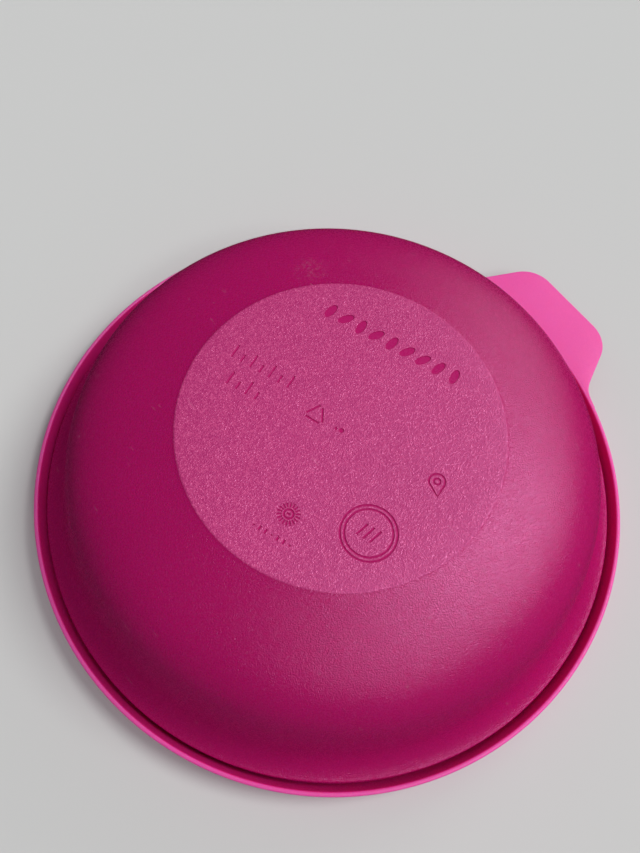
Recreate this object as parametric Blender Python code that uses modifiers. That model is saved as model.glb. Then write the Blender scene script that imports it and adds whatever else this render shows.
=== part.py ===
"""Rice bowl with a press-on lid, standing upside down on the lid.

Two moulded pieces share one axis. The lid is at the bottom with its outer face down at z = 0.
The bowl stands over it, mouth down, with its rim in the lid's channel and its flat base on top.
The lid's pull tab points along +X. Lengths are in metres and +Z is up.
"""
import math

import bmesh
import bpy

# Driving dimensions
LID_RADIUS = 0.0750            # outside of the skirt at its free edge
SKIRT_HEIGHT = 0.0080          # free edge of the skirt above the lid's outer face
BOWL_HEIGHT = 0.0415           # flat base above the lid's outer face
BASE_RADIUS = 0.0365           # flat base disc
LIP_RADIUS = 0.0721            # outside of the bowl's rim
TURN_STEPS = 96                # facets round each turned piece
FIT_GAP = 0.0003               # clearance between the bowl and the lid

# Bowl
BOWL_WALL = 0.0018
BOWL_FLOOR = 0.0020
BASE_STEP = 0.0002             # the base disc stands proud of the wall
WAIST_RADIUS = 0.0637          # where the wall is steepest
WAIST_HEIGHT = 0.0236
WAIST_SLOPE = math.radians(77.5)
DOME_SLOPE = math.radians(14.0)    # fall of the wall where it leaves the base
DOME_PULLS = (0.50, 0.35)      # how long each slope holds, in shares of the curve's span
FLARE_PULLS = (0.56, 0.32)
LIP_TOP_RADIUS = 0.0716
LIP_TOP_HEIGHT = 0.0067
LIP_SLOPE = math.radians(26.5)
RIM_INNER_RADIUS = 0.0696
RIM_INNER_HEIGHT = 0.0050
RIM_ROUNDING = 0.0005

# Lid
LID_WALL = 0.0012
CHANNEL_ROOF = 0.0013          # thickness under the rim of the bowl
PANEL_RECESS = 0.0008          # ring of the outer face between the pad and the resting ring
PAD_RADIUS = 0.0389
RECESS_RADIUS = 0.0664
REST_RING_RADIUS = 0.0672
STEP_WIDTH = 0.0010
SKIRT_FLARE = 0.0013           # the skirt leans outward by this much
SHOULDER_RADIUS = 0.0018
PLUG_HEIGHT = 0.0047           # rib that seals against the inside of the rim
PLUG_INNER_RADIUS = 0.0678
PLUG_ROUNDING = 0.0004
PLUG_DRAFT = 0.0002            # the rib's outside leans in by this much

# Pull tab
TAB_REACH = 0.0880             # outer edge of the tab from the axis
TAB_THICKNESS = 0.0012
TAB_HALF_EDGE = 0.0090         # half of the straight outer edge
TAB_CORNER = 0.0090
TAB_FLARE = math.radians(25.0)     # the flanks spread towards the skirt
TAB_ROOT_ANGLE = math.radians(21.5)
TAB_FLANK = 0.0062             # straight part of each flank
TAB_FILLET = 0.0056            # reach of the fillet along the skirt
TAB_OVERLAP = 0.0007           # the tab runs into the skirt's wall by this much

BOWL_COLOUR = (0.42, 0.012, 0.12, 1.0)
LID_COLOUR = (0.80, 0.08, 0.36, 1.0)


def clear_scene():
    for item in list(bpy.data.objects):
        bpy.data.objects.remove(item, do_unlink=True)


def new_collection(name):
    collection = bpy.data.collections.new(name)
    bpy.context.scene.collection.children.link(collection)
    return collection


def plastic(name, colour, roughness):
    material = bpy.data.materials.new(name)
    material.use_nodes = True
    shader = material.node_tree.nodes["Principled BSDF"]
    shader.inputs["Base Color"].default_value = colour
    shader.inputs["Roughness"].default_value = roughness
    shader.inputs["Metallic"].default_value = 0.0
    return material


def cubic(start, start_handle, end_handle, end, count):
    """Points of a cubic curve, from its start to just before its end."""
    points = []
    for index in range(count):
        t = index / count
        s = 1.0 - t
        weights = (s ** 3, 3 * s * s * t, 3 * s * t * t, t ** 3)
        corners = (start, start_handle, end_handle, end)
        points.append(tuple(sum(w * c[axis] for w, c in zip(weights, corners)) for axis in (0, 1)))
    return points


def falling_curve(start, start_slope, end, end_slope, pulls, count):
    """A wall curve that falls outward from one slope to another, slopes taken below level."""
    span = math.dist(start, end)
    first = (start[0] + span * pulls[0] * math.cos(start_slope),
             start[1] - span * pulls[0] * math.sin(start_slope))
    second = (end[0] - span * pulls[1] * math.cos(end_slope),
              end[1] + span * pulls[1] * math.sin(end_slope))
    return cubic(start, first, second, end, count)


def arc(centre, radius, start, end, count):
    """Points of an arc in degrees, both ends included."""
    points = []
    for index in range(count + 1):
        angle = math.radians(start + (end - start) * index / count)
        points.append((centre[0] + radius * math.cos(angle), centre[1] + radius * math.sin(angle)))
    return points


def offset_inside(points, thickness):
    """The same outline moved square to itself, towards the inside of the bowl."""
    moved = []
    for index, point in enumerate(points):
        before = points[max(index - 1, 0)]
        after = points[min(index + 1, len(points) - 1)]
        length = math.dist(before, after)
        moved.append((point[0] + thickness * (after[1] - before[1]) / length,
                      point[1] - thickness * (after[0] - before[0]) / length))
    return moved


def bowl_profile():
    """Half section of the bowl, from the middle of its base down the outside and back inside."""
    shoulder = BOWL_HEIGHT - BASE_STEP
    dome = falling_curve((BASE_RADIUS + BASE_STEP, shoulder), DOME_SLOPE,
                         (WAIST_RADIUS, WAIST_HEIGHT), WAIST_SLOPE, DOME_PULLS, 10)
    flare = falling_curve((WAIST_RADIUS, WAIST_HEIGHT), WAIST_SLOPE,
                          (LIP_TOP_RADIUS, LIP_TOP_HEIGHT), LIP_SLOPE, FLARE_PULLS, 7)
    wall = dome + flare
    floor = BOWL_HEIGHT - BOWL_FLOOR
    lining = offset_inside(wall, BOWL_WALL)[1:]
    rim_end = CHANNEL_ROOF + FIT_GAP
    corner = RIM_ROUNDING
    profile = [(0.0, BOWL_HEIGHT), (BASE_RADIUS, BOWL_HEIGHT)]
    profile += wall
    profile += [(LIP_TOP_RADIUS, LIP_TOP_HEIGHT), (LIP_RADIUS, LIP_TOP_HEIGHT - corner)]
    profile += arc((LIP_RADIUS - corner, rim_end + corner), corner, 0.0, -90.0, 2)
    profile += arc((RIM_INNER_RADIUS + corner, rim_end + corner), corner, -90.0, -180.0, 2)
    profile += [(RIM_INNER_RADIUS, RIM_INNER_HEIGHT)]
    profile += reversed(lining)
    profile += [(BASE_RADIUS, floor), (0.0, floor)]
    return profile


def lid_profile():
    """Half section of the lid, from the middle of its inner face out, over the edge and back."""
    panel = PANEL_RECESS + LID_WALL
    plug_outer = RIM_INNER_RADIUS - FIT_GAP
    channel_wall = LIP_RADIUS + FIT_GAP
    edge = LID_WALL / 2
    foot = LID_RADIUS - SKIRT_FLARE
    lean = math.degrees(math.atan(SKIRT_FLARE / SKIRT_HEIGHT))
    profile = [(0.0, LID_WALL), (PAD_RADIUS - STEP_WIDTH / 2, LID_WALL)]
    profile += [(PAD_RADIUS + STEP_WIDTH / 2, panel), (PLUG_INNER_RADIUS - 2 * PLUG_ROUNDING, panel)]
    profile += [(PLUG_INNER_RADIUS, panel + 2 * PLUG_ROUNDING)]
    profile += arc((PLUG_INNER_RADIUS + PLUG_ROUNDING, PLUG_HEIGHT - PLUG_ROUNDING),
                   PLUG_ROUNDING, 180.0, 90.0, 2)
    profile += arc((plug_outer - PLUG_DRAFT - PLUG_ROUNDING, PLUG_HEIGHT - PLUG_ROUNDING),
                   PLUG_ROUNDING, 90.0, 0.0, 2)
    profile += [(plug_outer, CHANNEL_ROOF), (channel_wall, CHANNEL_ROOF)]
    profile += arc((LID_RADIUS - edge, SKIRT_HEIGHT - edge), edge, 180.0, 0.0, 4)
    shoulder = (foot - SHOULDER_RADIUS, SHOULDER_RADIUS)
    profile += arc(shoulder, SHOULDER_RADIUS, -lean, -90.0, 4)
    profile += [(REST_RING_RADIUS, 0.0), (RECESS_RADIUS, PANEL_RECESS)]
    profile += [(PAD_RADIUS + STEP_WIDTH, PANEL_RECESS), (PAD_RADIUS, 0.0), (0.0, 0.0)]
    return profile


def turned(name, profile, material, collection):
    """A closed solid of revolution about Z, from a half section at +X."""
    mesh = bpy.data.meshes.new(name)
    section = bmesh.new()
    corners = [section.verts.new((radius, 0.0, height)) for radius, height in profile]
    for first, second in zip(corners, corners[1:]):
        section.edges.new((first, second))
    section.to_mesh(mesh)
    section.free()
    piece = bpy.data.objects.new(name, mesh)
    collection.objects.link(piece)
    screw = piece.modifiers.new("turn", "SCREW")
    screw.axis = "Z"
    screw.steps = TURN_STEPS
    screw.render_steps = TURN_STEPS
    screw.use_merge_vertices = True
    screw.merge_threshold = 0.00001
    screw.use_smooth_shade = True
    mesh.materials.append(material)
    return piece


def tab_outline():
    """Outline of the tab seen from above, from its root at -Y round to its root at +Y."""
    corner = (TAB_REACH - TAB_CORNER, TAB_HALF_EDGE)
    round_end = 90.0 - math.degrees(TAB_FLARE)
    half = arc(corner, TAB_CORNER, 0.0, round_end, 6)
    flank = (-math.cos(TAB_FLARE), math.sin(TAB_FLARE))
    fillet_start = (half[-1][0] + TAB_FLANK * flank[0], half[-1][1] + TAB_FLANK * flank[1])
    root = (LID_RADIUS * math.cos(TAB_ROOT_ANGLE), LID_RADIUS * math.sin(TAB_ROOT_ANGLE))
    along_skirt = (math.sin(TAB_ROOT_ANGLE), -math.cos(TAB_ROOT_ANGLE))
    knee = (root[0] + TAB_FILLET * along_skirt[0], root[1] + TAB_FILLET * along_skirt[1])
    half += cubic(fillet_start, knee, knee, root, 6)
    half += [root]
    inner_angle = math.degrees(TAB_ROOT_ANGLE)
    inside = arc((0.0, 0.0), LID_RADIUS - TAB_OVERLAP, inner_angle, -inner_angle, 20)
    mirrored = [(x, -y) for x, y in reversed(half)]
    return mirrored + half + inside


def flat_plate(name, outline, thickness, top, collection):
    """A closed plate from a 2D curve, made into a mesh so that it can be joined."""
    curve = bpy.data.curves.new(name, "CURVE")
    curve.dimensions = "2D"
    curve.fill_mode = "BOTH"
    curve.extrude = thickness / 2
    spline = curve.splines.new("POLY")
    spline.points.add(len(outline) - 1)
    for point, (x, y) in zip(spline.points, outline):
        point.co = (x, y, 0.0, 1.0)
    spline.use_cyclic_u = True
    flat = bpy.data.objects.new(name + "_outline", curve)
    flat.location.z = top - thickness / 2
    collection.objects.link(flat)
    bpy.context.view_layer.update()
    evaluated = flat.evaluated_get(bpy.context.evaluated_depsgraph_get())
    mesh = bpy.data.meshes.new_from_object(evaluated)
    welded = bmesh.new()
    welded.from_mesh(mesh)
    bmesh.ops.remove_doubles(welded, verts=welded.verts, dist=0.00001)
    bmesh.ops.recalc_face_normals(welded, faces=welded.faces)
    welded.to_mesh(mesh)
    welded.free()
    plate = bpy.data.objects.new(name, mesh)
    plate.matrix_world = flat.matrix_world.copy()
    plate.hide_render = True
    plate.display_type = "WIRE"
    collection.objects.link(plate)
    bpy.data.objects.remove(flat, do_unlink=True)
    return plate


def join_solid(piece, other):
    """Joins another solid to a piece."""
    union = piece.modifiers.new("join_" + other.name, "BOOLEAN")
    union.operation = "UNION"
    union.solver = "EXACT"
    union.object = other


def make_bowl(collection):
    material = plastic("bowl_plastic", BOWL_COLOUR, 0.38)
    return turned("bowl", bowl_profile(), material, collection)


def make_lid(collection, cutters):
    material = plastic("lid_plastic", LID_COLOUR, 0.42)
    lid = turned("lid", lid_profile(), material, collection)
    tab = flat_plate("tab", tab_outline(), TAB_THICKNESS, SKIRT_HEIGHT, cutters)
    join_solid(lid, tab)
    return lid


def main():
    clear_scene()
    parts = new_collection("rice_bowl")
    cutters = new_collection("cutters")
    make_lid(parts, cutters)
    make_bowl(parts)


main()
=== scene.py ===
"""Finished look of a rice bowl that stands upside down on its press-on lid."""
import math

import bmesh
import bpy
from bpy.props import FloatProperty, FloatVectorProperty, IntProperty, PointerProperty
from bpy.types import Operator, Panel, PropertyGroup
from mathutils import Matrix, Vector


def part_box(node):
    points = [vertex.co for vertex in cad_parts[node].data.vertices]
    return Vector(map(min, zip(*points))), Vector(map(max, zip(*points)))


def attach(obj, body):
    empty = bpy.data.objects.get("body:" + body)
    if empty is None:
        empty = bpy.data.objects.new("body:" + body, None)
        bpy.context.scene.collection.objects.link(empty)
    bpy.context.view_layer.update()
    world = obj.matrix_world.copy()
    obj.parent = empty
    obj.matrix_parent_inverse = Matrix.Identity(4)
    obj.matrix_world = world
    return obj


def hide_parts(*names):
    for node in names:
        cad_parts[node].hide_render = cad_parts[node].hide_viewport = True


bl_info = {
    "name": "Rice Bowl With Lid",
    "version": (1, 0, 0),
    "blender": (4, 5, 0),
    "location": "View3D > Sidebar > Rice Bowl",
    "description": "Adds a round plastic bowl standing upside down on its press-on lid",
    "category": "Add Mesh",
}

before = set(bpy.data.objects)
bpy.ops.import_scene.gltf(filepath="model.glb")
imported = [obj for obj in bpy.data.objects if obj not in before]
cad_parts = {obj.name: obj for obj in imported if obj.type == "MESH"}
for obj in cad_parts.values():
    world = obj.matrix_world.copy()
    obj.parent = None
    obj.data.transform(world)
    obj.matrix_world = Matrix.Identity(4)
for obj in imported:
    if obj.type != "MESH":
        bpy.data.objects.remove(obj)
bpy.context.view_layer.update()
BOWL_LOW, BOWL_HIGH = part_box("bowl")
LID_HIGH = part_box("lid")[1]

MM = 0.001
WELD = 2e-6                    # points closer than this, in metres, are one point
CREASE = math.radians(32.0)    # edges sharper than this stay crisp
LEVEL = 0.9999                 # a face whose normal rises more than this is flat

# Marks of the base, in millimetres. A place is from the bowl's axis, and a mark's own x runs
# along the rows of marks.
BAR_PLACES = (-1.6, 0.0, 1.6)          # slanting bars in the double ring
BAR_HALF = (0.5, 1.6)
TICK_ROWS = (((-8.2, 28.8), 7), ((-13.0, 24.0), 4))    # where each row starts, and its ticks
TICK_PITCH = 2.45
TICK_FOOT = -1.5
TICK_LENGTHS = (3.4, 2.0)              # long and short ticks take turns
TRIANGLE_CENTRE = (-3.0, 5.6)
TRIANGLE_TURN = 0.5                    # radians from the rows' direction
TRIANGLE_REACH = 1.45                  # from the centre out to each side
TRIANGLE_SIDE = (-1.9, 1.6)            # each side's ends, which leave the corners open
PIN_CENTRE = (8.2, -22.3)
PIN_TURN = -130.0                      # degrees from +X to the pin's tip
PIN_MOUTH = 48.0                       # half of the angle where the head runs into the tip
PIN_HEAD = 1.75
PIN_TIP = 3.4
PIN_EYE = 0.7
HUB_RADIUS = 1.0                       # ring inside the dial's teeth
HUB_HALF_BAR = 0.4
DASH_START = (-28.6, -6.3)
DASH_COUNT = 7
DASH_PITCH = 1.45
DASH_HALVES = (0.2, 0.55, 0.55)        # one dot, then two dashes
TOOTH_SIZE = (1.1, 0.38, 0.5)
TOOTH_RISE = 0.12                      # middle of a tooth above the base
GRAIN_SLANT = 68.0                     # degrees between the row and the grains, on average
GRAIN_TAPER = 0.86                     # foot of a grain's cutter against its top
GRAIN_SEED = 4
GATE_RADII = (0.62, 0.36)
GATE_STEP = (-0.6, 1.1)                # from the large gate to the small one
GATE_DEPTH = 0.36

# Stage
FLOOR_RADIUS = 6.0
FLOOR_DROP = 0.1 * MM                  # keeps the floor clear of the lid's outer face
FLOOR_COLOUR = (0.58, 0.58, 0.57, 1.0)
SKY_COLOUR = (0.95, 0.97, 1.0, 1.0)
SENSOR = 36.0                          # the camera's sensor, in millimetres across
NEAR_CLIP = 0.01


# ---------------------------------------------------------------- settings

def length(name, description, default):
    """A size in metres."""
    return FloatProperty(name=name, description=description, default=default, unit="LENGTH",
                         precision=5)


def angle(name, description, degrees):
    """An angle, given here in degrees and kept in radians."""
    return FloatProperty(name=name, description=description, default=math.radians(degrees),
                         unit="ROTATION")


def colour(name, description, default):
    """A linear colour."""
    return FloatVectorProperty(name=name, description=description, default=default, size=3,
                               min=0.0, max=1.0, subtype="COLOR")


def share(name, description, default):
    """A number from 0 to 1."""
    return FloatProperty(name=name, description=description, default=default, min=0.0, max=1.0,
                         subtype="FACTOR")


def power(name, description, default):
    """The strength of a light."""
    return FloatProperty(name=name, description=description, default=default, min=0.0)


def place(name, description, *millimetres):
    """A point or a set of sizes with two or three numbers, given here in millimetres."""
    return FloatVectorProperty(name=name, description=description,
                               default=tuple(value * MM for value in millimetres),
                               size=len(millimetres), unit="LENGTH")


class BowlShape(PropertyGroup):
    height: length("Height", "Flat base above the ground", BOWL_HIGH.z)
    rim_end: length("Rim end", "Free end of the rim above the ground", BOWL_LOW.z)
    lip_radius: length("Lip radius", "Outside of the rim", BOWL_HIGH.y)
    base_radius: length("Base radius", "Flat base disc", 36.5 * MM)
    base_step: length("Base step", "How far the disc stands proud of the wall", 0.2 * MM)
    wall: length("Wall", "Thickness of the wall", 1.8 * MM)
    floor: length("Floor", "Thickness of the base", 2.0 * MM)
    dome_slope: angle("Dome slope", "Fall of the wall where it leaves the base", 14.0)
    waist_radius: length("Waist radius", "Where the wall is steepest", 63.7 * MM)
    waist_height: length("Waist height", "Where the wall is steepest", 23.6 * MM)
    waist_slope: angle("Waist slope", "Fall of the wall at its steepest", 77.5)
    lip_top_radius: length("Flare radius", "Where the flare ends on the lip", 71.6 * MM)
    lip_top_height: length("Flare height", "Where the flare ends on the lip", 6.7 * MM)
    lip_slope: angle("Lip slope", "Fall of the flare where it ends", 26.5)
    rim_inner_radius: length("Rim bore", "Inside of the rim", 69.6 * MM)
    rim_inner_height: length("Rim depth", "Where the bore meets the flare", 5.0 * MM)
    rounding: length("Rounding", "Radius of the rim's corners", 0.5 * MM)
    steps: IntProperty(name="Steps", description="Facets round the bowl", default=288, min=24)


class LidShape(PropertyGroup):
    radius: length("Radius", "Outside of the skirt at its free edge", LID_HIGH.y)
    skirt_height: length("Skirt height", "Free edge above the ground", LID_HIGH.z)
    wall: length("Wall", "Thickness of the skirt and panel", 1.2 * MM)
    flare: length("Flare", "How far the skirt leans out", 1.3 * MM)
    shoulder: length("Shoulder", "Radius between the resting ring and the skirt", 1.8 * MM)
    edge_rounding: length("Edge rounding", "Radius of the free edge's corners", 0.58 * MM)
    tab_rounding: length("Tab rounding", "Radius of the tab's edges", 0.3 * MM)
    channel_roof: length("Channel roof", "Thickness under the bowl's rim", 1.3 * MM)
    recess: length("Recess", "Depth of the ring round the centre pad", 0.8 * MM)
    pad_radius: length("Pad radius", "Flat centre pad", 38.9 * MM)
    recess_radius: length("Recess radius", "Outside of the recessed ring", 66.4 * MM)
    ring_radius: length("Resting ring", "Inside of the resting ring", 67.2 * MM)
    plug_height: length("Plug height", "Rib that seals inside the rim", 4.7 * MM)
    plug_inner: length("Plug inside", "Inner radius of the rib", 67.8 * MM)
    plug_outer: length("Plug outside", "Outer radius of the rib", 69.3 * MM)
    channel_outer: length("Channel outside", "Outer radius of the rim's channel", 72.4 * MM)
    gate_radius: length("Gate", "Dimple in the middle of the lid's outer face", 2.2 * MM)
    tab_reach: length("Tab reach", "Outer edge of the tab from the axis", LID_HIGH.x)
    tab_half_edge: length("Tab edge", "Half of the straight outer edge", 9.0 * MM)
    tab_corner: length("Tab corner", "Radius of the tab's corners", 9.0 * MM)
    tab_flare: angle("Tab flare", "How far the flanks spread", 25.0)
    tab_flank: length("Tab flank", "Straight part of each flank", 6.2 * MM)
    tab_root: angle("Tab root", "Half of the angle that the tab covers", 21.5)
    tab_fillet: length("Tab fillet", "Reach of the fillet along the skirt", 5.6 * MM)
    steps: IntProperty(name="Steps", description="Facets round the lid", default=288, min=24)


class MarkLayout(PropertyGroup):
    turn: angle("Turn", "Direction in which the rows of marks run", -68.5)
    line_width: length("Line width", "Width of an engraved line", 0.50 * MM)
    line_depth: length("Line depth", "Depth of an engraved line", 0.20 * MM)
    grain_start: place("Grain row", "First grain of the long row", 16.0, 24.3)
    grain_pitch: length("Grain pitch", "Distance between two grains", 4.05 * MM)
    grain_count: IntProperty(name="Grains", description="Grains in the long row", default=9, min=1)
    grain_size: place("Grain size", "Half length, half width and depth", 2.2, 1.05, 0.18)
    grain_tilt: angle("Grain tilt", "How far the grains turn from each other at most", 24.0)
    ring_centre: place("Ring", "Centre of the double ring", -10.7, -22.2)
    ring_outer: length("Outer ring", "Radius of the outer ring", 6.05 * MM)
    ring_inner: length("Inner ring", "Radius of the inner ring", 5.15 * MM)
    dial_centre: place("Dial", "Centre of the toothed dial", -21.5, -8.9)
    dial_radius: length("Dial radius", "Middle of the dial's teeth", 2.0 * MM)
    tooth_count: IntProperty(name="Teeth", description="Teeth round the dial", default=18, min=3)
    gate_centre: place("Gate", "Centre of the moulding gate", -0.9, -0.8)


class Finish(PropertyGroup):
    bowl: colour("Bowl", "Colour of the bowl", (0.415, 0.001, 0.108))
    base: colour("Base", "Colour of the grained base disc", (0.56, 0.026, 0.185))
    mark: colour("Marks", "Colour of the polished marks", (0.44, 0.006, 0.122))
    # painted shade: a darker pink for the lid's rim channel, the skirt's inner side and the inner
    # side of its free edge
    channel_shade: colour("Channel shade", "Deeper colour inside the lid's rim channel", (0.76, 0.014, 0.24))
    lid: colour("Lid", "Colour of the lid", (0.84, 0.085, 0.385))
    bowl_roughness: share("Bowl roughness", "Roughness of the wall", 0.29)
    base_roughness: share("Base roughness", "Roughness of the base disc", 0.32)
    mark_roughness: share("Mark roughness", "Roughness of the polished marks", 0.3)
    lid_roughness: share("Lid roughness", "Roughness of the lid", 0.48)
    scuff_place: place("Scuff", "Rubbed spot on the wall", 19.8, 37.3, 40.0)
    wall_grain: length("Wall grain", "Size of the wall's fine grain", 0.34 * MM)
    base_grain: length("Base grain", "Size of the base disc's coarse grain", 0.34 * MM)


class StageSetup(PropertyGroup):
    aim: place("Aim", "Point that the camera looks at", 6.1, 12.9, 8.0)
    distance: length("Distance", "Camera to the aim", 211.2 * MM)
    azimuth: angle("Azimuth", "Camera's turn round the bowl", -45.2)
    elevation: angle("Elevation", "Camera above the horizon", 66.83)
    roll: angle("Roll", "Camera's tilt about its view", 7.86)
    lens: FloatProperty(name="Lens", description="Focal length on a 36 mm sensor", default=33.76,
                        unit="CAMERA")
    key_azimuth: angle("Key azimuth", "Direction of the key light, from +X", -32.0)
    key_elevation: angle("Key elevation", "Key light above the horizon", 54.0)
    key_power: power("Key power", "Power of the key light", 1.9)
    lamp_width: angle("Lamp width", "Width of the key and fill lamps as the bowl sees them", 26.0)
    fill_azimuth: angle("Fill azimuth", "Direction of the fill light, from +X", 10.0)
    fill_elevation: angle("Fill elevation", "Fill light above the horizon", 22.0)
    fill_power: power("Fill power", "Power of the fill light", 0.4)
    front_azimuth: angle("Front azimuth", "Direction of the front light, from +X", -98.0)
    front_elevation: angle("Front elevation", "Front light above the horizon", 52.0)
    front_power: power("Front power", "Power of the front light", 0.55)
    front_share: share("Front width", "Width of the front lamp against the others", 0.5)
    sky: power("Sky", "Strength of the soft light from all round", 0.25)
    sky_lean: share("Sky lean", "How much brighter the sky is on the key light's side", 0.7)
    dim_reflection: share("Sky in reflections", "How much of the sky reflections show", 0.06)


# ---------------------------------------------------------------- outlines

def cubic(start, start_handle, end_handle, end, count):
    """Points of a cubic curve, from its start to just before its end."""
    corners = (start, start_handle, end_handle, end)
    points = []
    for index in range(count):
        t = index / count
        s = 1.0 - t
        weights = (s ** 3, 3 * s * s * t, 3 * s * t * t, t ** 3)
        points.append(tuple(sum(w * c[axis] for w, c in zip(weights, corners)) for axis in (0, 1)))
    return points


def falling_curve(start, start_slope, end, end_slope, pulls, count):
    """A wall curve that falls outward from one slope to another, slopes taken below level."""
    span = math.dist(start, end)
    first = (start[0] + span * pulls[0] * math.cos(start_slope),
             start[1] - span * pulls[0] * math.sin(start_slope))
    second = (end[0] - span * pulls[1] * math.cos(end_slope),
              end[1] + span * pulls[1] * math.sin(end_slope))
    return cubic(start, first, second, end, count)


def arc(centre, radius, start, end, count):
    """Points of an arc in degrees, both ends included."""
    points = []
    for index in range(count + 1):
        turn = math.radians(start + (end - start) * index / count)
        points.append((centre[0] + radius * math.cos(turn), centre[1] + radius * math.sin(turn)))
    return points


def offset_inside(points, thickness):
    """The same outline moved square to itself, towards the inside of the bowl."""
    moved = []
    for index, point in enumerate(points):
        before = points[max(index - 1, 0)]
        after = points[min(index + 1, len(points) - 1)]
        span = math.dist(before, after)
        moved.append((point[0] + thickness * (after[1] - before[1]) / span,
                      point[1] - thickness * (after[0] - before[0]) / span))
    return moved


def bowl_outline(shape):
    """Half section of the bowl, from the middle of its base down the outside and back inside."""
    waist = (shape.waist_radius, shape.waist_height)
    lip_top = (shape.lip_top_radius, shape.lip_top_height)
    step = shape.base_step
    fall = math.radians(35.0)      # slope at the foot of the disc's rounded edge
    rounded = 0.6                  # share of the step that the rounding takes, the crown the rest
    soft = rounded * step / (1.0 - math.cos(fall))
    foot = (shape.base_radius + step, shape.height - step)
    edge = (foot[0] - soft * math.sin(fall), foot[1] - soft * math.cos(fall))
    crown = (edge[0], edge[1] + soft)
    crown_start = shape.base_radius - 5.0 * MM
    crown_handle = shape.base_radius - 3.0 * MM
    dome_pulls = (0.50, 0.35)
    flare_pulls = (0.56, 0.32)
    dome = falling_curve(foot, shape.dome_slope, waist, shape.waist_slope, dome_pulls, 56)
    flare = falling_curve(waist, shape.waist_slope, lip_top, shape.lip_slope, flare_pulls, 36)
    wall = dome + flare
    corner = shape.rounding
    outer = shape.lip_radius - corner
    inner = shape.rim_inner_radius + corner
    floor = shape.height - shape.floor
    points = [(0.0, shape.height)]
    points += cubic((crown_start, shape.height), (crown_handle, shape.height), crown, crown, 8)
    points += arc(edge, soft, 84.0, 55.0, 5)
    points += wall[1:]
    points += arc((outer, shape.lip_top_height - corner), corner, 76.0, 0.0, 6)
    points += arc((outer, shape.rim_end + corner), corner, 0.0, -90.0, 6)
    points += arc((inner, shape.rim_end + corner), corner, -90.0, -180.0, 6)
    points += [(shape.rim_inner_radius, shape.rim_inner_height)]
    points += reversed(offset_inside(wall, shape.wall)[2:-1])
    points += [(shape.base_radius, floor), (0.0, floor)]
    return points


def lid_outline(shape):
    """Half section of the lid, from the middle of its inner face out, over the edge and back."""
    panel = shape.recess + shape.wall
    small = 0.4 * MM               # radius of most corners
    tiny = 0.2 * MM                # radius in the channel's corner and the gate's edge
    gate_depth = 0.3 * MM
    edge = shape.edge_rounding
    top = shape.skirt_height - edge
    foot = shape.radius - shape.flare
    lean = math.degrees(math.atan(shape.flare / shape.skirt_height))
    points = [(0.0, shape.wall)]
    points += arc((shape.pad_radius - 1.2 * MM, shape.wall + small), small, -90.0, -50.0, 4)
    points += arc((shape.pad_radius + 0.2 * MM, panel - small), small, 130.0, 90.0, 4)
    points += arc((shape.plug_inner - 2 * small, panel + 2 * small), 2 * small, -90.0, 0.0, 6)
    points += arc((shape.plug_inner + small, shape.plug_height - small), small, 180.0, 90.0, 5)
    points += arc((shape.plug_outer - 1.5 * small, shape.plug_height - small), small, 90.0, 0.0, 5)
    points += arc((shape.plug_outer + tiny, shape.channel_roof + tiny), tiny, -180.0, -90.0, 3)
    points += arc((shape.channel_outer - small, shape.channel_roof + small), small, -90.0, -lean, 5)
    points += arc((shape.radius - shape.wall + edge, top), edge, 180.0, 90.0, 5)
    points += arc((shape.radius - edge, top), edge, 90.0, 0.0, 5)
    points += arc((foot - shape.shoulder, shape.shoulder), shape.shoulder, -lean, -90.0, 10)
    points += arc((shape.ring_radius, small), small, -90.0, -135.0, 3)
    points += arc((shape.recess_radius - 0.1 * MM, shape.recess - small), small, 45.0, 90.0, 3)
    points += arc((shape.pad_radius + 1.1 * MM, shape.recess - small), small, 90.0, 135.0, 3)
    points += arc((shape.pad_radius - 0.1 * MM, small), small, -45.0, -90.0, 3)
    points += arc((shape.gate_radius + tiny, tiny), tiny, -90.0, -180.0, 4)
    points += [(shape.gate_radius - tiny, gate_depth), (0.0, gate_depth)]
    return points


def tab_outline(shape):
    """Outline of the pull tab seen from above, its root inside the skirt's wall."""
    corner = (shape.tab_reach - shape.tab_corner, shape.tab_half_edge)
    half = arc(corner, shape.tab_corner, 0.0, 90.0 - math.degrees(shape.tab_flare), 16)
    flank = (-math.cos(shape.tab_flare), math.sin(shape.tab_flare))
    fillet = (half[-1][0] + shape.tab_flank * flank[0], half[-1][1] + shape.tab_flank * flank[1])
    root = (shape.radius * math.cos(shape.tab_root), shape.radius * math.sin(shape.tab_root))
    knee = (root[0] + shape.tab_fillet * math.sin(shape.tab_root),
            root[1] - shape.tab_fillet * math.cos(shape.tab_root))
    half += cubic(fillet, knee, knee, root, 14) + [root]
    reach = math.degrees(shape.tab_root)
    inside = arc((0.0, 0.0), shape.radius - shape.wall / 2, reach, -reach, 48)
    return [(x, -y) for x, y in reversed(half)] + half + inside


# ---------------------------------------------------------------- node helpers

def add_node(tree, kind, inputs=None, **settings):
    """A node with its settings, whose inputs are given as values or as sockets to link."""
    node = tree.nodes.new(kind)
    for key, value in settings.items():
        setattr(node, key, value)
    for name, value in (inputs or {}).items():
        if isinstance(value, bpy.types.NodeSocket):
            tree.links.new(value, node.inputs[name])
        else:
            node.inputs[name].default_value = value
    return node


def calculate(tree, operation, first, second=0.0):
    """A Math node's result, in a shader or a geometry tree."""
    node = add_node(tree, "ShaderNodeMath", {0: first, 1: second}, operation=operation)
    return node.outputs[0]


def new_tree(name, inputs):
    """An empty geometry tree with named inputs, and its input and output nodes."""
    tree = bpy.data.node_groups.new(name, "GeometryNodeTree")
    tree.interface.new_socket("Geometry", in_out="INPUT", socket_type="NodeSocketGeometry")
    for label, kind in inputs:
        tree.interface.new_socket(label, in_out="INPUT", socket_type=kind)
    tree.interface.new_socket("Geometry", in_out="OUTPUT", socket_type="NodeSocketGeometry")
    return tree, tree.nodes.new("NodeGroupInput"), tree.nodes.new("NodeGroupOutput")


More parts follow.
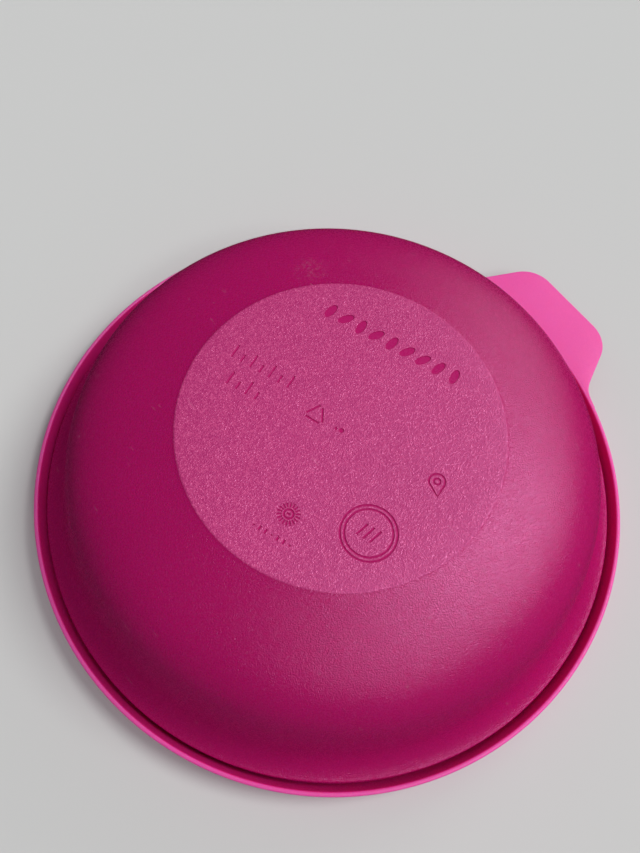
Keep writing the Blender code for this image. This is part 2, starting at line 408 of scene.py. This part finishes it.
def finish_tree(tree, geometry, material, output):
    """Ends a tree in Realize Instances and Set Material."""
    real = add_node(tree, "GeometryNodeRealizeInstances", {"Geometry": geometry})
    dressed = add_node(tree, "GeometryNodeSetMaterial",
                       {"Geometry": real.outputs[0], "Material": material})
    tree.links.new(dressed.outputs[0], output.inputs["Geometry"])


def run_tree(piece, tree, values):
    """Runs a geometry tree on a piece and keeps the result as its plain mesh."""
    modifier = piece.modifiers.new(tree.name, "NODES")
    modifier.node_group = tree
    for item in tree.interface.items_tree:
        if item.in_out == "INPUT" and item.name in values:
            modifier[item.identifier] = values[item.name]
    keep_result(piece)


def keep_result(piece):
    """Replaces a piece's mesh by what its modifiers make of it, and removes them."""
    bpy.context.view_layer.update()
    evaluated = piece.evaluated_get(bpy.context.evaluated_depsgraph_get())
    made = bpy.data.meshes.new_from_object(evaluated)
    old = piece.data
    piece.modifiers.clear()
    piece.data = made
    bpy.data.meshes.remove(old)
    made.name = piece.name
    if made.materials[0] is None:      # left over from a mesh that had no material
        made.materials.pop(index=0)


def turned_tree():
    """Turns the outline in its input mesh about Z into a closed shell."""
    tree, outside, output = new_tree("turned_piece", (("Steps", "NodeSocketInt"),
                                                      ("Material", "NodeSocketMaterial")))
    outline = outside.outputs["Geometry"]
    steps = outside.outputs["Steps"]
    count = add_node(tree, "GeometryNodeAttributeDomainSize", {"Geometry": outline}).outputs[0]
    columns = calculate(tree, "ADD", steps, 1.0)
    grid = add_node(tree, "GeometryNodeMeshGrid", {"Vertices X": columns, "Vertices Y": count})
    index = add_node(tree, "GeometryNodeInputIndex").outputs[0]
    row = calculate(tree, "MODULO", index, count)
    column = calculate(tree, "FLOOR", calculate(tree, "DIVIDE", index, count))
    position = add_node(tree, "GeometryNodeInputPosition").outputs[0]
    section = add_node(tree, "GeometryNodeSampleIndex",
                       {"Geometry": outline, "Value": position, "Index": row},
                       data_type="FLOAT_VECTOR", domain="POINT")
    turn = calculate(tree, "MULTIPLY", calculate(tree, "DIVIDE", column, steps), math.tau)
    turned = add_node(tree, "ShaderNodeVectorRotate",
                      {"Vector": section.outputs[0], "Angle": turn}, rotation_type="Z_AXIS")
    moved = add_node(tree, "GeometryNodeSetPosition",
                     {"Geometry": grid.outputs["Mesh"], "Position": turned.outputs[0]})
    closed = add_node(tree, "GeometryNodeMergeByDistance",
                      {"Geometry": moved.outputs[0], "Distance": WELD})
    finish_tree(tree, closed.outputs[0], outside.outputs["Material"], output)
    return tree


def mark_tree():
    """Cutters for the base: lines as tubes, a row of grains and a ring of teeth."""
    tree, outside, output = new_tree("base_marks", (
        ("Line Radius", "NodeSocketFloat"), ("Grain Count", "NodeSocketInt"),
        ("Grain Start", "NodeSocketVector"), ("Grain Pitch", "NodeSocketVector"),
        ("Grain Size", "NodeSocketVector"), ("Grain Turn", "NodeSocketFloat"),
        ("Grain Tilt", "NodeSocketFloat"),
        ("Dial Centre", "NodeSocketVector"), ("Dial Radius", "NodeSocketFloat"),
        ("Tooth Count", "NodeSocketInt"), ("Material", "NodeSocketMaterial")))
    path = add_node(tree, "GeometryNodeMeshToCurve", {"Mesh": outside.outputs["Geometry"]})
    section = add_node(tree, "GeometryNodeCurvePrimitiveCircle",
                       {"Resolution": 10, "Radius": outside.outputs["Line Radius"]})
    tubes = add_node(tree, "GeometryNodeCurveToMesh",
                     {"Curve": path.outputs[0], "Profile Curve": section.outputs[0],
                      "Fill Caps": True})
    row = add_node(tree, "GeometryNodeMeshLine",
                   {"Count": outside.outputs["Grain Count"],
                    "Start Location": outside.outputs["Grain Start"],
                    "Offset": outside.outputs["Grain Pitch"]}, mode="OFFSET")
    grain = add_node(tree, "GeometryNodeMeshCone",
                     {"Vertices": 32, "Radius Top": 1.0, "Radius Bottom": GRAIN_TAPER,
                      "Depth": 2.0})
    tilt = add_node(tree, "FunctionNodeRandomValue",
                    {2: calculate(tree, "MULTIPLY", outside.outputs["Grain Tilt"], -1.0),
                     3: outside.outputs["Grain Tilt"], "Seed": GRAIN_SEED}, data_type="FLOAT")
    lean = calculate(tree, "ADD", tilt.outputs[1], outside.outputs["Grain Turn"])
    spin = add_node(tree, "ShaderNodeCombineXYZ", {"Z": lean})
    grains = add_node(tree, "GeometryNodeInstanceOnPoints",
                      {"Points": row.outputs[0], "Instance": grain.outputs["Mesh"],
                       "Rotation": spin.outputs[0], "Scale": outside.outputs["Grain Size"]})
    circle = add_node(tree, "GeometryNodeMeshCircle",
                      {"Vertices": outside.outputs["Tooth Count"],
                       "Radius": outside.outputs["Dial Radius"]})
    dial = add_node(tree, "GeometryNodeTransform",
                    {"Geometry": circle.outputs[0], "Translation": outside.outputs["Dial Centre"]})
    index = add_node(tree, "GeometryNodeInputIndex").outputs[0]
    part = calculate(tree, "DIVIDE", index, outside.outputs["Tooth Count"])
    facing = add_node(tree, "ShaderNodeCombineXYZ",
                      {"Z": calculate(tree, "MULTIPLY", part, math.tau)})
    tooth = add_node(tree, "GeometryNodeMeshCube", {"Size": [side * MM for side in TOOTH_SIZE]})
    teeth = add_node(tree, "GeometryNodeInstanceOnPoints",
                     {"Points": dial.outputs[0], "Instance": tooth.outputs["Mesh"],
                      "Rotation": facing.outputs[0]})
    joined = tree.nodes.new("GeometryNodeJoinGeometry")
    for made in (teeth, grains, tubes):
        tree.links.new(made.outputs[0], joined.inputs[0])
    finish_tree(tree, joined.outputs[0], outside.outputs["Material"], output)
    return tree


# ---------------------------------------------------------------- mesh helpers

def outline_mesh(name, loops):
    """A mesh of edges only: each loop is (points, closed), with points in space."""
    sketch = bmesh.new()
    for points, closed in loops:
        corners = [sketch.verts.new(point) for point in points]
        for first, second in zip(corners, corners[1:]):
            sketch.edges.new((first, second))
        if closed:
            sketch.edges.new((corners[-1], corners[0]))
    mesh = bpy.data.meshes.new(name)
    sketch.to_mesh(mesh)
    sketch.free()
    return mesh


def new_piece(name, mesh):
    """An object at the origin, in the scene."""
    piece = bpy.data.objects.new(name, mesh)
    bpy.context.scene.collection.objects.link(piece)
    return piece


def turned_piece(name, outline, steps, material):
    """A closed shell of revolution about Z."""
    section = outline_mesh(name, [([(radius, 0.0, height) for radius, height in outline], False)])
    piece = new_piece(name, section)
    run_tree(piece, turned_tree(), {"Steps": steps, "Material": material})
    face_outwards(piece.data)
    return piece


def face_outwards(mesh):
    """Welds a closed mesh, turns its faces outwards and shades it smooth with crisp creases."""
    work = bmesh.new()
    work.from_mesh(mesh)
    bmesh.ops.remove_doubles(work, verts=work.verts, dist=WELD)
    bmesh.ops.recalc_face_normals(work, faces=work.faces)
    work.to_mesh(mesh)
    work.free()
    mesh.shade_smooth()
    mesh.set_sharp_from_angle(angle=CREASE)


def combine(piece, other, operation):
    """Joins another closed piece to this one, or cuts it out, and removes the other."""
    modifier = piece.modifiers.new("combine", "BOOLEAN")
    modifier.operation = operation
    modifier.solver = "EXACT"
    modifier.material_mode = "TRANSFER"
    modifier.object = other
    before = len(piece.data.polygons)
    keep_result(piece)
    if len(piece.data.polygons) <= before:
        raise RuntimeError(piece.name + " could not be combined with " + other.name)
    bpy.data.objects.remove(other, do_unlink=True)
    piece.data.shade_smooth()
    piece.data.set_sharp_from_angle(angle=CREASE)


def stand_for(piece, node, body):
    """Puts the finished piece in the place of a node of the frame."""
    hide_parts(node)
    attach(piece, body)


# ---------------------------------------------------------------- materials

def new_material(name):
    """A material, its node tree and its Principled shader."""
    material = bpy.data.materials.new(name)
    material.use_nodes = True
    tree = material.node_tree
    return material, tree, tree.nodes["Principled BSDF"]


def noise(tree, point, size, detail, roughness=0.5):
    """A noise pattern whose grains are about one size across."""
    node = add_node(tree, "ShaderNodeTexNoise",
                    {"Vector": point, "Scale": 1.0 / size, "Detail": detail,
                     "Roughness": roughness})
    return node.outputs["Fac"]


def mix(tree, factor, first, second):
    """Two colours mixed by a factor."""
    node = add_node(tree, "ShaderNodeMix", data_type="RGBA")
    for socket, value in ((0, factor), (6, first), (7, second)):
        if isinstance(value, bpy.types.NodeSocket):
            tree.links.new(value, node.inputs[socket])
        else:
            node.inputs[socket].default_value = value
    return node.outputs[2]


def fade(tree, value, low, high, start=0.0, end=1.0):
    """A value mapped from one range to another, and held at its ends."""
    node = add_node(tree, "ShaderNodeMapRange",
                    {"Value": value, "From Min": low, "From Max": high, "To Min": start,
                     "To Max": end})
    return node.outputs[0]


def shade_of(rgb, gain):
    """A lighter or darker shade of a colour, with full alpha."""
    return tuple(min(channel * gain, 1.0) for channel in rgb) + (1.0,)


def first_channel(tree, colour_socket):
    """A colour's red channel, used as a random number for each cell."""
    return add_node(tree, "ShaderNodeSeparateColor", {"Color": colour_socket}).outputs[0]


def flecks(tree, point, cell, size, keep):
    """Small dust flecks, one in each cell that is kept. Size is a share of the cell."""
    node = add_node(tree, "ShaderNodeTexVoronoi", {"Vector": point, "Scale": 1.0 / cell})
    dot = fade(tree, node.outputs["Distance"], size * 0.6, size, 1.0, 0.0)
    chosen = calculate(tree, "LESS_THAN", first_channel(tree, node.outputs["Color"]), keep)
    return calculate(tree, "MULTIPLY", dot, chosen)


def hairlines(tree, point, width):
    """Short fine scratches that run mostly one way, in patches."""
    stretch = 0.045
    laid = add_node(tree, "ShaderNodeMapping", {"Vector": point, "Rotation": (0.3, 0.2, 0.9),
                                                "Scale": (1.0, stretch, 1.0)})
    streak = noise(tree, laid.outputs[0], width, 1.0)
    patch = noise(tree, point, 14.0 * MM, 1.0)
    sharp = fade(tree, streak, 0.73, 0.76)
    return calculate(tree, "MULTIPLY", sharp, fade(tree, patch, 0.52, 0.60))


def scuff(tree, point, centre, reach):
    """A pale rubbed spot with ragged edges."""
    strongest = 0.55
    away = add_node(tree, "ShaderNodeVectorMath", {0: point, 1: centre}, operation="DISTANCE")
    spot = fade(tree, away.outputs["Value"], 0.15 * reach, reach, 1.0, 0.0)
    ragged = fade(tree, noise(tree, point, 0.9 * MM, 3.0), 0.45, 0.75, 0.0, strongest)
    return calculate(tree, "MULTIPLY", spot, ragged)


def moulded_plastic(name, rgb, roughness, grain, relief, sparkle, tint, gloss, sheer=0.0,
                    rubbed=None):
    """Moulded plastic with a spark-eroded grain, faint clouding, dust and hairline scratches.

    grain is the size of the grain and relief its depth. sparkle is how much its cells differ in
    colour; the brightest cells are painted glints, mixed towards a pale whitish pink. tint and
    gloss set the reflections, and sheer lets light into the plastic. rubbed is the middle of a
    scuffed spot.
    """
    material, tree, shader = new_material(name)
    point = add_node(tree, "ShaderNodeTexCoord").outputs["Object"]

    crater = add_node(tree, "ShaderNodeTexVoronoi", {"Vector": point, "Scale": 1.0 / grain})
    pits = calculate(tree, "MULTIPLY", crater.outputs["Distance"], 0.35)
    height = calculate(tree, "ADD", noise(tree, point, grain, 2.0, 0.7), pits)
    bump = add_node(tree, "ShaderNodeBump", {"Height": height, "Distance": relief, "Strength": 1.0})
    glint = first_channel(tree, crater.outputs["Color"])

    scratches = calculate(tree, "MULTIPLY", hairlines(tree, point, 0.9 * MM), 0.35)
    dust = flecks(tree, point, 6.0 * MM, 0.05, 0.3)
    marks = calculate(tree, "MAXIMUM", dust, scratches)
    if rubbed:
        marks = calculate(tree, "MAXIMUM", marks, scuff(tree, point, rubbed, 5.0 * MM))

    cloud = fade(tree, noise(tree, point, 38.0 * MM, 2.0), 0.35, 0.65)
    tone = mix(tree, cloud, shade_of(rgb, 0.96), shade_of(rgb, 1.04))
    # pale is both the colour of dust and scratches and the whitish pink of the painted glints
    pale = tuple(0.35 + 0.65 * channel for channel in rgb) + (1.0,)
    # painted glints: the grain's brightest cells are lightened towards pale pink, the others darken
    # at random
    glint_cells = mix(tree, 0.5 * sparkle, shade_of(rgb, 1.0 + 0.5 * sparkle), pale)
    dull = shade_of(rgb, 1.0 - 0.6 * sparkle)
    grained = mix(tree, calculate(tree, "POWER", glint, 2.0), dull, glint_cells)
    blended = mix(tree, 0.5, tone, grained)
    worn = mix(tree, calculate(tree, "MULTIPLY", marks, 0.30), blended, pale)

    polished = fade(tree, glint, 0.0, 1.0, roughness + 0.10, roughness - 0.14)
    rough = calculate(tree, "ADD", polished, calculate(tree, "MULTIPLY", marks, 0.15))

    tree.links.new(worn, shader.inputs["Base Color"])
    tree.links.new(rough, shader.inputs["Roughness"])
    tree.links.new(bump.outputs[0], shader.inputs["Normal"])
    shader.inputs["Specular IOR Level"].default_value = gloss
    shader.inputs["Specular Tint"].default_value = tint + (1.0,)
    shader.inputs["Subsurface Weight"].default_value = sheer
    shader.inputs["Subsurface Radius"].default_value = (1.0, 0.12, 0.35)
    shader.inputs["Subsurface Scale"].default_value = 2.5 * MM
    return material


# ---------------------------------------------------------------- base marks

def mark_lines(layout, height):
    """Engraved lines of the base as loops of points, each with whether it is closed."""
    z = height + layout.line_width / 2 - layout.line_depth
    along = Vector((math.cos(layout.turn), math.sin(layout.turn)))
    across = Vector((-along.y, along.x))
    loops = []

    def lift(points):
        return [(point[0], point[1], z) for point in points]

    def ring(centre, radius, sides):
        last = 360.0 - 360.0 / sides
        loops.append((lift(arc(centre, radius, 0.0, last, sides - 1)), True))

    def stroke(origin, points):
        placed = [Vector(origin) + along * x * MM + across * y * MM for x, y in points]
        loops.append((lift(placed), False))

    for radius in (layout.ring_outer, layout.ring_inner):
        ring(layout.ring_centre, radius, 96)
    lean, half = BAR_HALF
    for x in BAR_PLACES:
        stroke(layout.ring_centre, [(x - lean, -half), (x + lean, half)])

    for start, ticks in TICK_ROWS:
        for tick in range(ticks):
            x = tick * TICK_PITCH
            top = TICK_FOOT + TICK_LENGTHS[tick % 2]
            stroke(Vector(start) * MM, [(x, TICK_FOOT), (x, top)])

    for side in range(3):
        turn = layout.turn + side * math.tau / 3 + TRIANGLE_TURN
        out = Vector((math.cos(turn), math.sin(turn)))
        edge = Vector((-out.y, out.x))
        middle = (Vector(TRIANGLE_CENTRE) + out * TRIANGLE_REACH) * MM
        loops.append((lift([middle + edge * end * MM for end in TRIANGLE_SIDE]), False))

    pin = Vector(PIN_CENTRE) * MM
    tip = math.radians(PIN_TURN)
    head = arc(pin, PIN_HEAD * MM, PIN_TURN + PIN_MOUTH, PIN_TURN + 360.0 - PIN_MOUTH, 28)
    point = pin + Vector((math.cos(tip), math.sin(tip))) * PIN_TIP * MM
    loops.append((lift(head + [tuple(point)]), True))
    ring(pin, PIN_EYE * MM, 16)

    ring(layout.dial_centre, HUB_RADIUS * MM, 24)
    stroke(layout.dial_centre, [(-HUB_HALF_BAR, 0.0), (HUB_HALF_BAR, 0.0)])

    for dash in range(DASH_COUNT):
        x = dash * DASH_PITCH
        tall = DASH_HALVES[dash % 3]
        stroke(Vector(DASH_START) * MM, [(x, -tall), (x, tall)])
    return loops


def gate_dimples(layout, height, material):
    """Round dimples where the plastic entered the mould."""
    work = bmesh.new()
    large = Vector(layout.gate_centre)
    small = large + Vector(GATE_STEP) * MM
    for (x, y), radius in zip((large, small), GATE_RADII):
        bmesh.ops.create_cone(work, cap_ends=True, segments=28, radius1=radius * 0.8 * MM,
                              radius2=radius * 1.1 * MM, depth=GATE_DEPTH * MM,
                              matrix=Matrix.Translation((x, y, height)))
    mesh = bpy.data.meshes.new("gate_dimples")
    work.to_mesh(mesh)
    work.free()
    mesh.materials.append(material)
    return new_piece("gate_dimples", mesh)


def mark_cutters(layout, height, material):
    """All engraved lines, grains and teeth of the base as one cutter."""
    piece = new_piece("base_marks", outline_mesh("base_marks", mark_lines(layout, height)))
    along = Vector((math.cos(layout.turn), math.sin(layout.turn), 0.0))
    run_tree(piece, mark_tree(), {
        "Line Radius": layout.line_width / 2,
        "Grain Count": layout.grain_count,
        "Grain Start": (layout.grain_start[0], layout.grain_start[1],
                        height - layout.grain_size[2]),
        "Grain Pitch": along * layout.grain_pitch,
        "Grain Size": tuple(layout.grain_size),
        "Grain Turn": layout.turn + math.radians(GRAIN_SLANT),
        "Grain Tilt": layout.grain_tilt,
        "Dial Centre": (layout.dial_centre[0], layout.dial_centre[1], height + TOOTH_RISE * MM),
        "Dial Radius": layout.dial_radius,
        "Tooth Count": layout.tooth_count,
        "Material": material,
    })
    face_outwards(piece.data)
    return piece


# ---------------------------------------------------------------- operators

class RICEBOWL_OT_add_bowl(Operator):
    """Add the bowl, upside down, with its grained base and engraved marks"""
    bl_idname = "ricebowl.add_bowl"
    bl_label = "Add Bowl"

    def execute(self, context):
        shape = context.scene.ricebowl_bowl
        marks = context.scene.ricebowl_marks
        finish = context.scene.ricebowl_finish
        pink_gloss = (1.0, 0.47, 0.84)
        wall = moulded_plastic("bowl_wall_satin", finish.bowl, finish.bowl_roughness,
                               finish.wall_grain, relief=0.11 * MM, sparkle=0.05,
                               tint=pink_gloss, gloss=1.0, sheer=0.2,
                               rubbed=tuple(finish.scuff_place))
        grain = moulded_plastic("bowl_base_grain", finish.base, finish.base_roughness,
                                finish.base_grain, relief=0.13 * MM, sparkle=0.62,
                                tint=pink_gloss, gloss=1.0)
        polish = moulded_plastic("bowl_mark_polish", finish.mark, finish.mark_roughness,
                                 finish.wall_grain, relief=0.01 * MM, sparkle=0.05,
                                 tint=pink_gloss, gloss=0.6)
        bowl = turned_piece("bowl_shell", bowl_outline(shape), shape.steps, wall)
        bowl.data.materials.append(grain)
        for face in bowl.data.polygons:
            if face.center.z > shape.height - shape.base_step:
                face.material_index = 1
        combine(bowl, mark_cutters(marks, shape.height, polish), "DIFFERENCE")
        combine(bowl, gate_dimples(marks, shape.height, polish), "DIFFERENCE")
        for face in bowl.data.polygons:
            face.use_smooth = face.normal.z < LEVEL
        stand_for(bowl, "bowl", "bowl")
        return {"FINISHED"}


class RICEBOWL_OT_add_lid(Operator):
    """Add the lid with its rim channel, skirt and pull tab"""
    bl_idname = "ricebowl.add_lid"
    bl_label = "Add Lid"

    def execute(self, context):
        shape = context.scene.ricebowl_lid
        finish = context.scene.ricebowl_finish
        plastic = moulded_plastic("lid_soft_plastic", finish.lid, finish.lid_roughness,
                                  finish.wall_grain, relief=0.05 * MM, sparkle=0.05,
                                  tint=(1.0, 0.7, 0.88), gloss=0.6, sheer=0.4)
        # painted shade: a darker copy of the lid's plastic that stands in for the shadow inside the
        # rim channel
        deep = moulded_plastic("lid_channel_painted_shade", finish.channel_shade, finish.lid_roughness,
                               finish.wall_grain, relief=0.05 * MM, sparkle=0.05,
                               tint=(1.0, 0.5, 0.8), gloss=0.5, sheer=0.3)
        lid = turned_piece("lid_shell", lid_outline(shape), shape.steps, plastic)
        lid.data.materials.append(deep)
        self.paint_channel_shade(lid.data, shape)
        combine(lid, self.tab(shape, plastic), "UNION")
        stand_for(lid, "lid", "lid")
        return {"FINISHED"}

    def paint_channel_shade(self, mesh, shape):
        """Gives the rim channel and the skirt's inner side the darker plastic, slot 1, as painted
        shade where the channel lies in shadow.
        """
        low = shape.channel_roof - shape.edge_rounding
        # the painted shade reaches up the skirt's inner side over most of the free edge's rounding
        high = shape.skirt_height - 0.2 * shape.edge_rounding
        near = shape.plug_outer - 0.2 * MM
        for face in mesh.polygons:
            inward = face.normal.xy.dot(face.center.xy) <= 1e-9
            if inward and face.center.xy.length > near and low < face.center.z < high:
                face.material_index = 1

    def tab(self, shape, material):
        """The pull tab as a flat plate with rounded edges, flush with the free edge."""
        edge = shape.tab_rounding
        curve = bpy.data.curves.new("pull_tab", "CURVE")
        curve.dimensions = "2D"
        curve.fill_mode = "BOTH"
        curve.extrude = shape.wall / 2 - edge
        curve.bevel_depth = edge
        curve.bevel_resolution = 3
        curve.offset = -edge
        outline = tab_outline(shape)
        spline = curve.splines.new("POLY")
        spline.points.add(len(outline) - 1)
        for point, (x, y) in zip(spline.points, outline):
            point.co = (x, y, 0.0, 1.0)
        spline.use_cyclic_u = True
        flat = new_piece("pull_tab_outline", curve)
        bpy.context.view_layer.update()
        evaluated = flat.evaluated_get(bpy.context.evaluated_depsgraph_get())
        mesh = bpy.data.meshes.new_from_object(evaluated)
        mesh.transform(Matrix.Translation((0.0, 0.0, shape.skirt_height - shape.wall / 2)))
        mesh.materials.clear()
        mesh.materials.append(material)
        face_outwards(mesh)
        bpy.data.objects.remove(flat, do_unlink=True)
        return new_piece("pull_tab", mesh)


def direction(azimuth, elevation):
    """The unit vector that points at a place in the sky."""
    return Vector((math.cos(azimuth) * math.cos(elevation),
                   math.sin(azimuth) * math.cos(elevation), math.sin(elevation)))


class RICEBOWL_OT_add_stage(Operator):
    """Add the floor, the lights and the camera"""
    bl_idname = "ricebowl.add_stage"
    bl_label = "Add Stage"

    def execute(self, context):
        setup = context.scene.ricebowl_stage
        self.floor()
        self.lights(context, setup)
        self.camera(context, setup)
        return {"FINISHED"}

    def floor(self):
        """A plain pale round floor."""
        work = bmesh.new()
        bmesh.ops.create_circle(work, cap_ends=True, segments=96, radius=FLOOR_RADIUS,
                                matrix=Matrix.Translation((0.0, 0.0, -FLOOR_DROP)))
        mesh = bpy.data.meshes.new("floor")
        work.to_mesh(mesh)
        work.free()
        material, _, shader = new_material("floor_paper")
        shader.inputs["Base Color"].default_value = FLOOR_COLOUR
        shader.inputs["Roughness"].default_value = 0.9
        mesh.materials.append(material)
        floor = new_piece("floor", mesh)
        floor.visible_glossy = False       # a pale floor would grey the bowl's deep colour

    def lights(self, context, setup):
        """Three soft lamps and a sky that is brighter on the key lamp's side."""
        world = bpy.data.worlds.new("studio")
        world.use_nodes = True
        tree = world.node_tree
        sky = tree.nodes["Background"]
        sky.inputs["Color"].default_value = SKY_COLOUR
        mirrored = add_node(tree, "ShaderNodeLightPath").outputs["Is Glossy Ray"]
        level = fade(tree, mirrored, 0.0, 1.0, setup.sky, setup.sky * setup.dim_reflection)
        toward = add_node(tree, "ShaderNodeVectorMath",
                          {0: add_node(tree, "ShaderNodeTexCoord").outputs["Generated"],
                           1: direction(setup.key_azimuth, setup.key_elevation)},
                          operation="DOT_PRODUCT")
        side = fade(tree, toward.outputs["Value"], -1.0, 1.0, 1.0 - setup.sky_lean,
                    1.0 + setup.sky_lean)
        tree.links.new(calculate(tree, "MULTIPLY", level, side), sky.inputs["Strength"])
        context.scene.world = world
        context.scene.view_settings.view_transform = "Standard"    # keeps the magenta deep
        self.lamp(context, "key", setup.key_azimuth, setup.key_elevation, setup.key_power,
                  setup.lamp_width)
        self.lamp(context, "fill", setup.fill_azimuth, setup.fill_elevation, setup.fill_power,
                  setup.lamp_width)
        self.lamp(context, "front", setup.front_azimuth, setup.front_elevation,
                  setup.front_power, setup.front_share * setup.lamp_width)

    def lamp(self, context, name, azimuth, elevation, power, width):
        """A broad far lamp, as even over the floor as over the bowl."""
        ray = direction(azimuth, elevation)
        light = bpy.data.lights.new(name, "SUN")
        light.angle = width
        light.energy = power
        lamp = bpy.data.objects.new(name, light)
        lamp.location = ray
        lamp.rotation_euler = ray.to_track_quat("Z", "Y").to_euler()
        context.scene.collection.objects.link(lamp)

    def camera(self, context, setup):
        """The camera, which looks down at the base."""
        view = Vector((-math.sin(setup.azimuth) * math.cos(setup.elevation),
                       math.cos(setup.azimuth) * math.cos(setup.elevation),
                       -math.sin(setup.elevation)))
        lens = bpy.data.cameras.new("camera")
        lens.lens = setup.lens
        lens.sensor_width = SENSOR
        lens.clip_start = NEAR_CLIP
        camera = bpy.data.objects.new("camera", lens)
        turn = view.to_track_quat("-Z", "Y").to_matrix() @ Matrix.Rotation(setup.roll, 3, "Z")
        camera.matrix_world = Matrix.Translation(Vector(setup.aim) - view * setup.distance) \
            @ turn.to_4x4()
        context.scene.collection.objects.link(camera)
        context.scene.camera = camera


class RICEBOWL_PT_panel(Panel):
    """Lists the operators and the settings in the sidebar"""
    bl_idname = "RICEBOWL_PT_panel"
    bl_label = "Rice Bowl"
    bl_space_type = "VIEW_3D"
    bl_region_type = "UI"
    bl_category = "Rice Bowl"

    def draw(self, context):
        layout = self.layout
        for operator in OPERATORS:
            layout.operator(operator.bl_idname)
        for name, kind in SETTINGS:
            box = layout.box()
            box.label(text=kind.__name__)
            group = getattr(context.scene, name)
            for key in kind.__annotations__:
                box.prop(group, key)


SETTINGS = (("ricebowl_bowl", BowlShape), ("ricebowl_lid", LidShape),
            ("ricebowl_marks", MarkLayout), ("ricebowl_finish", Finish),
            ("ricebowl_stage", StageSetup))
OPERATORS = (RICEBOWL_OT_add_bowl, RICEBOWL_OT_add_lid, RICEBOWL_OT_add_stage)


def register():
    """Registers the settings, the operators and the panel."""
    for name, kind in SETTINGS:
        bpy.utils.register_class(kind)
        setattr(bpy.types.Scene, name, PointerProperty(type=kind))
    for operator in OPERATORS:
        bpy.utils.register_class(operator)
    bpy.utils.register_class(RICEBOWL_PT_panel)


def unregister():
    """Undoes register."""
    bpy.utils.unregister_class(RICEBOWL_PT_panel)
    for operator in reversed(OPERATORS):
        bpy.utils.unregister_class(operator)
    for name, kind in reversed(SETTINGS):
        delattr(bpy.types.Scene, name)
        bpy.utils.unregister_class(kind)


def main():
    """Makes the bowl, the lid and the stage."""
    register()
    bpy.ops.ricebowl.add_bowl()
    bpy.ops.ricebowl.add_lid()
    bpy.ops.ricebowl.add_stage()


if __name__ == "__main__":
    main()
